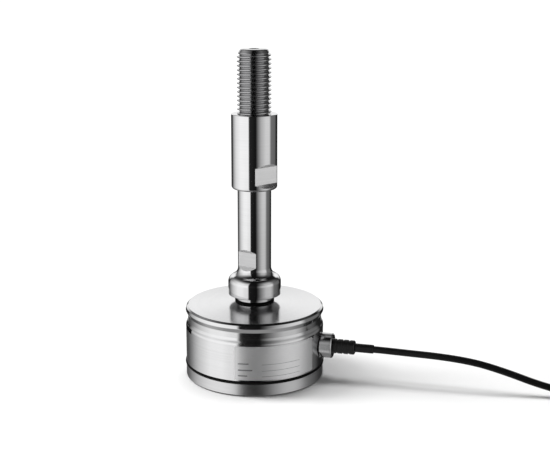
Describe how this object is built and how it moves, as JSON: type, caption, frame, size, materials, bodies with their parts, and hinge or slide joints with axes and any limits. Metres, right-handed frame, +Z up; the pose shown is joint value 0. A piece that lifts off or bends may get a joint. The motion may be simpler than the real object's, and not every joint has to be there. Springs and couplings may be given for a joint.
{
  "type": "weighing load cell",
  "caption": "Round polished stainless weighing load cell with a screw spindle on its load button, a threaded locking sleeve with spanner flats and a side gland with a signal cable.",
  "frame": {"origin": "centre of the base plate's underside, on the spindle's axis", "axes": "+Z up along the spindle, +X along the cable gland"},
  "size_m": [0.3541, 0.1381, 0.2356],
  "materials": {
    "polished_steel": "polished turned stainless",
    "hardened_steel": "ground hardened steel",
    "fastener_steel": "plain stainless fastener",
    "tinned_steel": "tinned sheet",
    "label_metal": "satin silver",
    "black_rubber": "matt moulded rubber",
    "black_plastic": "moulded black plastic",
    "green_plastic": "moulded terminal plastic",
    "white_plastic": "wire insulation",
    "cable_jacket": "satin black jacket",
    "white_ceramic": "ground alumina",
    "green_board": "solder-masked board",
    "pillar_brass": "turned brass"
  },
  "bodies": {
    "load_cell": {"base_plate": "polished_steel", "base_seal": "black_rubber", "base_screws": "fastener_steel", "housing": "polished_steel", "label_plate": "label_metal", "load_button": "hardened_steel", "button_seal": "black_rubber", "sensor_plate": "white_ceramic", "sensor_spacers": "fastener_steel", "sensor_screws": "fastener_steel", "circuit_board": "green_board", "board_pillars": "pillar_brass", "board_screws": "fastener_steel", "shield_can": "tinned_steel", "board_chips": "black_plastic", "terminal_block": "green_plastic", "inner_lead": "white_plastic", "gland_body": "polished_steel", "gland_washer": "black_rubber", "gland_grommet": "black_rubber", "gland_ferrule": "pillar_brass", "strain_relief": "black_plastic", "cable_sleeve": "black_plastic", "cable": "cable_jacket", "cable_coil": "cable_jacket", "cable_tie": "black_plastic"},
    "spindle": {"spindle": "polished_steel", "thrust_pad": "hardened_steel", "spindle_o_ring": "black_rubber"},
    "sleeve_seal": {"sleeve_o_ring": "black_rubber"},
    "sleeve": {"locking_sleeve": "polished_steel"}
  },
  "joints": [
    {"name": "spindle_swivel", "type": "hinge", "parent": "load_cell", "child": "spindle", "pos_m": [0, 0, 0.0666], "axis": [0, 0, 1], "continuous": true},
    {"name": "sleeve_travel", "type": "slide", "parent": "spindle", "child": "sleeve_seal", "axis": [0, 0, 1], "range_m": [-0.0241, 0.0061]},
    {"name": "sleeve_turn", "type": "hinge", "parent": "sleeve_seal", "child": "sleeve", "pos_m": [0, 0, 0.1643], "axis": [0, 0, 1], "range_deg": [-2880, 720]}
  ],
  "couplings": [
    {"joint": "sleeve_travel", "follows": "sleeve_turn", "m_per_rad": 0.00047746}
  ]
}
